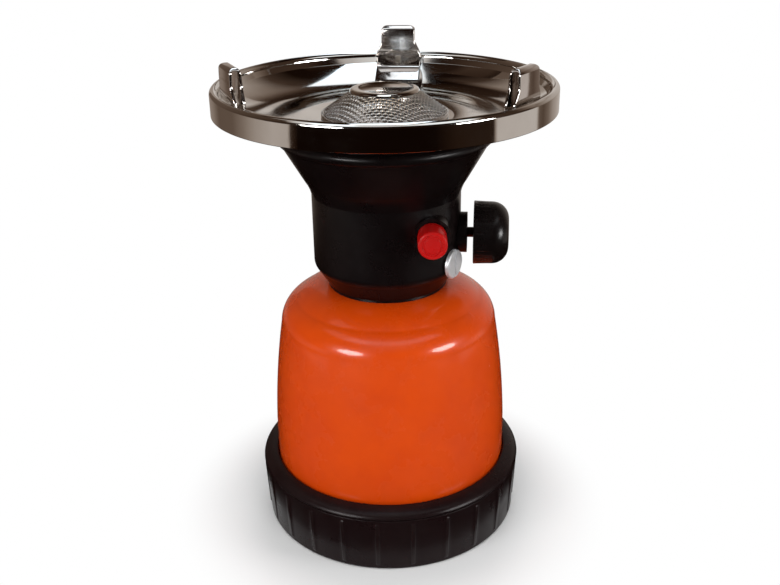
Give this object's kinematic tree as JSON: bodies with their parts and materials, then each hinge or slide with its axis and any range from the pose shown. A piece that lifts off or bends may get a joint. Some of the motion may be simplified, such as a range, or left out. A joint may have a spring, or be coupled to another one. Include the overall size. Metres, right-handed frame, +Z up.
{
  "type": "camping stove on a pierced gas cartridge",
  "caption": "Single burner camping stove: screw-on base cup, painted housing round a gas cartridge, valve head with knob and igniter, dish and folded-strip pot supports.",
  "frame": {"origin": "on the floor at the middle of the base cup", "axes": "+Z up along the burner's axis, +X out of the control knob, +Y towards the back pot support"},
  "size_m": [0.13, 0.13, 0.1955],
  "materials": {
    "base_plastic": "moulded black, satin with a glossy lip",
    "cartridge_tinplate": "printed tinplate, plain",
    "housing_paint": "glossy orange enamel",
    "valve_brass": "machined",
    "needle_steel": "hardened, ground",
    "seal_rubber": "moulded nitrile",
    "plated_steel": "zinc plated",
    "head_plastic": "moulded black, satin",
    "screw_nickel": "nickel plated",
    "knob_plastic": "moulded black, fluted grip",
    "burner_steel": "pressed stainless steel",
    "mesh_steel": "fine woven mesh",
    "dish_chrome": "bright chrome plate",
    "support_chrome": "bright chrome plate with heat tint",
    "button_red": "moulded red",
    "piezo_plastic": "moulded black",
    "ceramic": "glazed ceramic",
    "lead_sleeve": "silicone sleeve"
  },
  "bodies": {
    "base": {"base_cup": "base_plastic"},
    "cartridge": {"gas_cartridge": "cartridge_tinplate"},
    "stove": {"cartridge_housing": "housing_paint", "valve_body": "valve_brass", "piercing_needle": "needle_steel", "cartridge_seal": "seal_rubber", "lock_nut": "plated_steel", "head_casing": "head_plastic", "casing_screw": "screw_nickel", "gland_nut": "valve_brass", "jet": "valve_brass", "burner_tube": "plated_steel", "burner_cup": "burner_steel", "burner_mesh": "mesh_steel", "burner_cap": "burner_steel", "dish": "dish_chrome", "dish_nut": "plated_steel", "piezo_case": "piezo_plastic", "return_spring": "plated_steel", "piezo_crystal": "ceramic", "piezo_anvil": "plated_steel", "piezo_terminal": "valve_brass", "electrode_ceramic": "ceramic", "electrode_wire": "needle_steel", "electrode_bracket": "plated_steel", "ignition_lead": "lead_sleeve", "support_back": "support_chrome", "support_left": "support_chrome", "support_right": "support_chrome"},
    "spindle_seal": {"spindle_o_ring": "seal_rubber"},
    "control": {"valve_spindle": "valve_brass", "control_knob": "knob_plastic"},
    "button": {"igniter_button": "button_red", "igniter_plunger": "plated_steel"}
  },
  "joints": [
    {"name": "housing_unscrew", "type": "hinge", "parent": "base", "child": "cartridge", "pos_m": [0, 0, 0], "axis": [0, 0, 1], "range_deg": [0, 540]},
    {"name": "housing_rise", "type": "slide", "parent": "cartridge", "child": "stove", "axis": [0, 0, 1], "range_m": [0, 0.00901]},
    {"name": "spindle_travel", "type": "slide", "parent": "stove", "child": "spindle_seal", "axis": [1, 0, 0], "range_m": [0, 0.0012]},
    {"name": "knob_turn", "type": "hinge", "parent": "spindle_seal", "child": "control", "pos_m": [0, 0, 0.1247], "axis": [1, 0, 0], "range_deg": [0, 541]},
    {"name": "igniter_press", "type": "slide", "parent": "stove", "child": "button", "axis": [-0.0872, 0.9962, 0], "range_m": [0, 0.005], "stiffness_N_per_m": 1500, "springref_m": -0.002, "deforming": ["return_spring"]}
  ],
  "couplings": [
    {"joint": "housing_rise", "follows": "housing_unscrew", "m_per_rad": 0.00095493},
    {"joint": "knob_turn", "follows": "spindle_travel", "rad_per_m": 7854}
  ]
}
